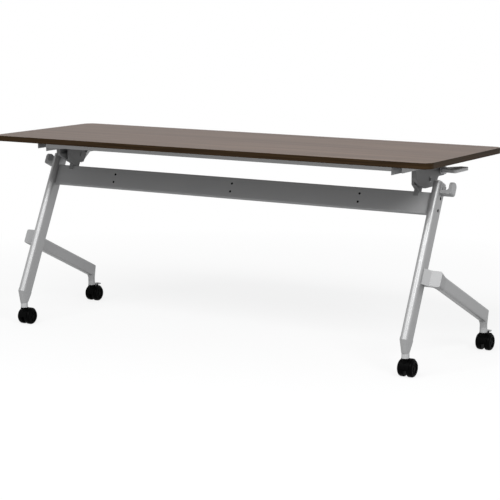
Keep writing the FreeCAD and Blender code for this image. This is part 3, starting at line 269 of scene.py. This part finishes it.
def make_plastic(name, color, rough, grain=900, relief=0.15, gloss=0.35):
    """Moulded plastic with a fine spark-eroded grain."""
    plastic = Nodes(name)
    texture = plastic.noise(plastic.place(), scale=grain, detail=3, rough=0.6)
    drift = plastic.noise(plastic.place(), scale=14, detail=3)
    dull = tuple(part * 0.90 for part in color)
    clean = tuple(part * 1.05 for part in color)
    plastic.bump(texture, strength=relief, distance=0.0002)
    tone = plastic.ramp(drift, (0.3, dull), (0.7, clean))
    roughness = plastic.span(texture, rough - 0.05, rough + 0.07)
    return plastic.surface(tone, roughness, Specular_IOR_Level=gloss)


# One material for each slot of the record
MATERIALS = {
    "laminate": make_laminate(),
    "board": make_board(),
    "edge_band": make_edge_band(),
    "silver_paint": make_powder_coat("silver_paint", level=0.36, rough=0.40, metal=0.40),
    "cast_silver": make_powder_coat("cast_silver", level=0.34, rough=0.46, metal=0.25),
    "steel": make_steel("zinc_steel", level=0.30, rough=0.40),
    "gray_plastic": make_plastic("gray_plastic", gray(0.70), rough=0.42),
    "bush_plastic": make_plastic("bush_plastic", BUSH, rough=0.40),
    "black_plastic": make_plastic("black_plastic", gray(0.0020), rough=0.42, gloss=0.02),
    "wheel_plastic": make_plastic(
        "wheel_black", gray(0.0020), rough=0.30, grain=500, relief=0.1, gloss=0.02
    ),
    "axle_steel": make_steel("axle_steel", level=0.55, rough=0.30),
    "pedal_plastic": make_plastic("pale_plastic", gray(0.50), rough=0.45),
}


def dress_nodes():
    """Gives each solid the material of its slot; hinges, hooks and the beam are duller."""
    casting = make_powder_coat("cast_gray", level=0.29, rough=0.50, metal=0.05, gloss=0.2)
    matte = make_powder_coat("matte_silver", level=0.48, rough=0.55, metal=0.05, gloss=0.15)
    duller = {"hinge_arm": casting, "hinge_pin": casting, "hinge_bracket": casting}
    duller.update({"crossbeam": matte, "bag_hook": matte})
    for entry in frame["record"]["subparts"]:
        mesh = nodes[entry["node"]].data
        mesh.materials.clear()
        kind = entry["node"].removesuffix("_left").removesuffix("_right")
        mesh.materials.append(duller.get(kind) or MATERIALS[entry["material_slot"]])


def new_piece(name, shape, slot, body, material=None):
    """Turns mesh code into a piece that rides on a body and takes a slot's finish."""
    mesh = bpy.data.meshes.new(name)
    bmesh.ops.recalc_face_normals(shape, faces=shape.faces)
    shape.to_mesh(mesh)
    shape.free()
    mesh.materials.append(material or MATERIALS[slot])
    piece = bpy.data.objects.new(name, mesh)
    scene.collection.objects.link(piece)
    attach(piece, body)
    return piece


def facing(at, axis):
    """A frame at a point whose Z runs along an axis."""
    turn = Vector((0, 0, 1)).rotation_difference(Vector(axis))
    return Matrix.Translation(at) @ turn.to_matrix().to_4x4()


def lathe(shape, place, profile):
    """Adds a closed ring turned from pairs of radius and height about a frame's Z."""
    rings = []
    for step in range(LATHE_STEPS):
        angle = math.tau * step / LATHE_STEPS
        across = Vector((math.cos(angle), math.sin(angle), 0))
        rings.append([shape.verts.new(place @ (across * r + Vector((0, 0, h)))) for r, h in profile])
    for here, there in zip(rings, rings[1:] + rings[:1]):
        for point in range(len(profile)):
            shape.faces.new((here[point - 1], there[point - 1], there[point], here[point]))


def prism(shape, place, outline, low, high):
    """Adds a straight prism over an outline in a frame's XY plane."""
    floor = [shape.verts.new(place @ Vector((x, y, low))) for x, y in outline]
    roof = [shape.verts.new(place @ Vector((x, y, high))) for x, y in outline]
    shape.faces.new(floor[::-1])
    shape.faces.new(roof)
    for point in range(len(outline)):
        shape.faces.new((floor[point - 1], floor[point], roof[point], roof[point - 1]))


def dome(radius, rise):
    """Profile of a shallow round head on a flat seat."""
    turns = [math.pi / 2 * step / DOME_STEPS for step in range(DOME_STEPS)]
    arc = [(radius * math.cos(turn), rise * math.sin(turn)) for turn in turns]
    return [(DOME_HOLE, 0), *arc, (DOME_HOLE, rise)]


def bar(start, end, half):
    """Outline of a narrow bar along X."""
    return [(start, -half), (end, -half), (end, half), (start, half)]


def hexagon(radius):
    """Outline with six corners on a circle."""
    turns = [math.pi / 3 * corner for corner in range(6)]
    return [(radius * math.cos(turn), radius * math.sin(turn)) for turn in turns]


def half_round(radius):
    """Outline of a half circle whose round side looks up where a frame's Z runs along X."""
    turns = [math.pi * step / RIB_STEPS for step in range(RIB_STEPS + 1)]
    return [(-radius * math.sin(turn), radius * math.cos(turn)) for turn in turns]


def islands(node):
    """Centre, lowest and highest corner of each loose solid in a node."""
    shape = bmesh.new()
    shape.from_mesh(nodes[node].data)
    left = set(shape.verts)
    found = []
    while left:
        group = [left.pop()]
        for vertex in group:
            near = [edge.other_vert(vertex) for edge in vertex.link_edges]
            fresh = [other for other in near if other in left]
            left.difference_update(fresh)
            group.extend(fresh)
        low = Vector([min(vertex.co[axis] for vertex in group) for axis in range(3)])
        high = Vector([max(vertex.co[axis] for vertex in group) for axis in range(3)])
        found.append(((low + high) / 2, low, high))
    shape.free()
    return found


def make_panel_inserts():
    """Black rivet nuts in the beam's panel holes, their flanges on its front face."""
    shape = bmesh.new()
    for mount in frame["record"]["mounts"]:
        if mount["kind"] != "bore":
            continue
        barrel = mount["dims"]["r_mm"] * MM - INSERT_FIT
        inner = barrel - INSERT_WALL
        brim = INSERT_RADIUS - INSERT_FLANGE
        flange = [(inner, INSERT_FLANGE), (brim, INSERT_FLANGE), (INSERT_RADIUS, 0)]
        sleeve = [(barrel, 0), (barrel, -INSERT_DEPTH), (inner, -INSERT_DEPTH)]
        axis = Vector(mount["axis"])
        face = Vector(mount["pos_m"]) + axis * mount["dims"]["length_mm"] * MM / 2
        lathe(shape, facing(face, axis), flange + sleeve)
    new_piece("panel_inserts", shape, "black_plastic", "base")


def make_wheel_trim(name):
    """Hub cap and ribs in the dish of a wheel's outer face."""
    low, high = (Vector(corner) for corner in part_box(f"caster_wheel_{name}"))
    outward = 1 if name.endswith("right") else -1
    seat = (high.x if outward > 0 else low.x) - outward * WHEEL_DISH
    place = facing((seat, (low.y + high.y) / 2, (low.z + high.z) / 2), (outward, 0, 0))
    shape = bmesh.new()
    lathe(shape, place, dome(HUB_RADIUS, HUB_RISE))
    outline = bar(SPOKE_INNER, SPOKE_OUTER, SPOKE_HALF)
    for spoke in range(SPOKES):
        turned = place @ Matrix.Rotation(math.tau * spoke / SPOKES, 4, "Z")
        prism(shape, turned, outline, 0, SPOKE_RISE)
    new_piece(f"wheel_trim_{name}", shape, "wheel_plastic", f"wheel_{name}")


def make_pedal_ribs(name):
    """Grip ribs across a brake pedal's tread."""
    low, high = (Vector(corner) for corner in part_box(f"brake_pedal_{name}"))
    half = (high.x - low.x) / 2 - RIB_MARGIN
    shape = bmesh.new()
    for rib in range(RIBS):
        middle = ((low.x + high.x) / 2, high.y - RIB_PITCH * (rib + 1), high.z - PEDAL_STEP)
        prism(shape, facing(middle, (1, 0, 0)), half_round(RIB_RADIUS), -half, half)
    new_piece(f"pedal_ribs_{name}", shape, "pedal_plastic", f"pedal_{name}")


def make_hook_screws(name, outward):
    """Two round heads that hold a bag hook's plate to its post."""
    low, high = (Vector(corner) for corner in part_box(f"bag_hook_{name}"))
    seat = (low.x if outward > 0 else high.x) + outward * HOOK_PLATE
    ahead = Vector((0, math.cos(LEAN), -math.sin(LEAN)))
    middle = Vector((seat, (low.y + high.y) / 2, (low.z + high.z) / 2))
    shape = bmesh.new()
    for way in (-1, 1):
        place = facing(middle + ahead * HOOK_SCREW_SPREAD * way, (outward, 0, 0))
        lathe(shape, place, dome(HOOK_SCREW_RADIUS, HOOK_SCREW_RADIUS / 2))
    new_piece(f"hook_screws_{name}", shape, "steel", "base")


def make_painted_recess_shade():
    """Painted shade of the driver recesses: thin near-black crosses on the wood screws and hexagons on
    the beam bolts, raised on the heads, stand in for the shade inside their recesses.
    """
    # Near-black paint that stands in for the shade inside a driver recess
    dark = make_plastic("painted_recess_shade", gray(0.01), rough=0.6, gloss=0.1)
    shape = bmesh.new()
    outline = bar(-CROSS_REACH, CROSS_REACH, CROSS_HALF)
    for center, low, _ in islands("top_screws"):
        place = facing((center.x, center.y, low.z), (0, 0, -1))
        for turn in (math.pi / 4, -math.pi / 4):
            prism(shape, place @ Matrix.Rotation(turn, 4, "Z"), outline, 0, PAINTED_RECESS_RISE)
    new_piece("screw_recess_shade", shape, "steel", "tabletop", dark)
    shape = bmesh.new()
    for center, low, high in islands("beam_bolts"):
        outward = 1 if center.x > 0 else -1
        face = high.x if outward > 0 else low.x
        place = facing((face, center.y, center.z), (outward, 0, 0))
        prism(shape, place, hexagon(HEX_RADIUS), 0, PAINTED_RECESS_RISE)
    new_piece("bolt_recess_shade", shape, "steel", "base", dark)


def make_details():
    """All small pieces that only the scene holds."""
    make_panel_inserts()
    make_painted_recess_shade()
    for place in ("front_left", "front_right", "rear_left", "rear_right"):
        for side in ("left", "right"):
            make_wheel_trim(f"{place}_{side}")
    for name, outward in (("left", -1), ("right", 1)):
        make_pedal_ribs(f"rear_{name}")
        make_hook_screws(name, outward)


def add_white(tree):
    """A plain white glow."""
    white = tree.nodes.new("ShaderNodeEmission")
    white.inputs["Color"].default_value = (*WHITE, 1)
    return white.outputs[0]


def blend(tree, first, second):
    """A mix of two shaders; its factor is left to the caller."""
    node = tree.nodes.new("ShaderNodeMixShader")
    tree.links.new(first, node.inputs[1])
    tree.links.new(second, node.inputs[2])
    return node


def split_rays(tree, plain, seen):
    """Shows one shader to rays from the camera, metal and glass, and another to all other light."""
    rays = tree.nodes.new("ShaderNodeLightPath").outputs
    looking = rays["Is Camera Ray"]
    for kind in ("Is Glossy Ray", "Is Transmission Ray"):
        either = tree.nodes.new("ShaderNodeMath")
        either.operation = "MAXIMUM"
        tree.links.new(looking, either.inputs[0])
        tree.links.new(rays[kind], either.inputs[1])
        looking = either.outputs[0]
    choice = blend(tree, plain, seen)
    tree.links.new(looking, choice.inputs[0])
    shown = next(node for node in tree.nodes if node.type.startswith("OUTPUT"))
    tree.links.new(choice.outputs[0], shown.inputs["Surface"])


def make_stage():
    """Pale floor that shows white and keeps a soft shadow."""
    mesh = bpy.data.meshes.new("floor")
    shape = bmesh.new()
    bmesh.ops.create_grid(shape, x_segments=1, y_segments=1, size=FLOOR_REACH)
    shape.to_mesh(mesh)
    shape.free()
    floor = bpy.data.objects.new("floor", mesh)
    scene.collection.objects.link(floor)
    paint = Nodes("floor_white")
    paint.surface((FLOOR_TONE, FLOOR_TONE, FLOOR_TONE, 1), FLOOR_ROUGH)
    pale = paint.add("ShaderNodeBsdfDiffuse", Color=(FLOOR_SEEN, FLOOR_SEEN, FLOOR_SEEN, 1))
    seen = blend(paint.tree, pale.outputs[0], add_white(paint.tree))
    distance = paint.add("ShaderNodeVectorMath", {"operation": "LENGTH"}, Vector=paint.place())
    fade = paint.span(distance.outputs["Value"], FLOOR_GLOW, 1, FADE_START, FADE_END)
    paint.tree.links.new(fade, seen.inputs[0])
    split_rays(paint.tree, paint.shader.outputs[0], seen.outputs[0])
    mesh.materials.append(paint.material)


def make_lights():
    """Even studio surround, a wide softbox above the front and a strip at the front right."""
    world = bpy.data.worlds.new("studio")
    scene.world = world
    world.use_nodes = True
    soft = world.node_tree.nodes["Background"]
    soft.inputs["Color"].default_value = SURROUND_TINT
    soft.inputs["Strength"].default_value = SURROUND
    split_rays(world.node_tree, soft.outputs[0], add_white(world.node_tree))
    for name, at, aim, size, power in LAMPS:
        lamp = bpy.data.lights.new(name, "AREA")
        lamp.shape = "RECTANGLE"
        lamp.size, lamp.size_y = size
        lamp.energy = power
        item = bpy.data.objects.new(name, lamp)
        item.location = at
        item.rotation_euler = (Vector(aim) - Vector(at)).to_track_quat("-Z", "Y").to_euler()
        scene.collection.objects.link(item)


def make_camera():
    """The photo's camera, as solved from the corners of the top and the casters."""
    lens = bpy.data.cameras.new("photo_camera")
    lens.sensor_width = CAMERA_SENSOR
    lens.lens = CAMERA_LENS
    camera = bpy.data.objects.new("photo_camera", lens)
    camera.location = CAMERA_AT
    camera.rotation_euler = (math.pi / 2 - CAMERA_DOWN, 0, CAMERA_YAW)
    scene.collection.objects.link(camera)
    scene.camera = camera


dress_nodes()
make_details()
make_stage()
make_lights()
make_camera()
scene.view_settings.view_transform = "Standard"
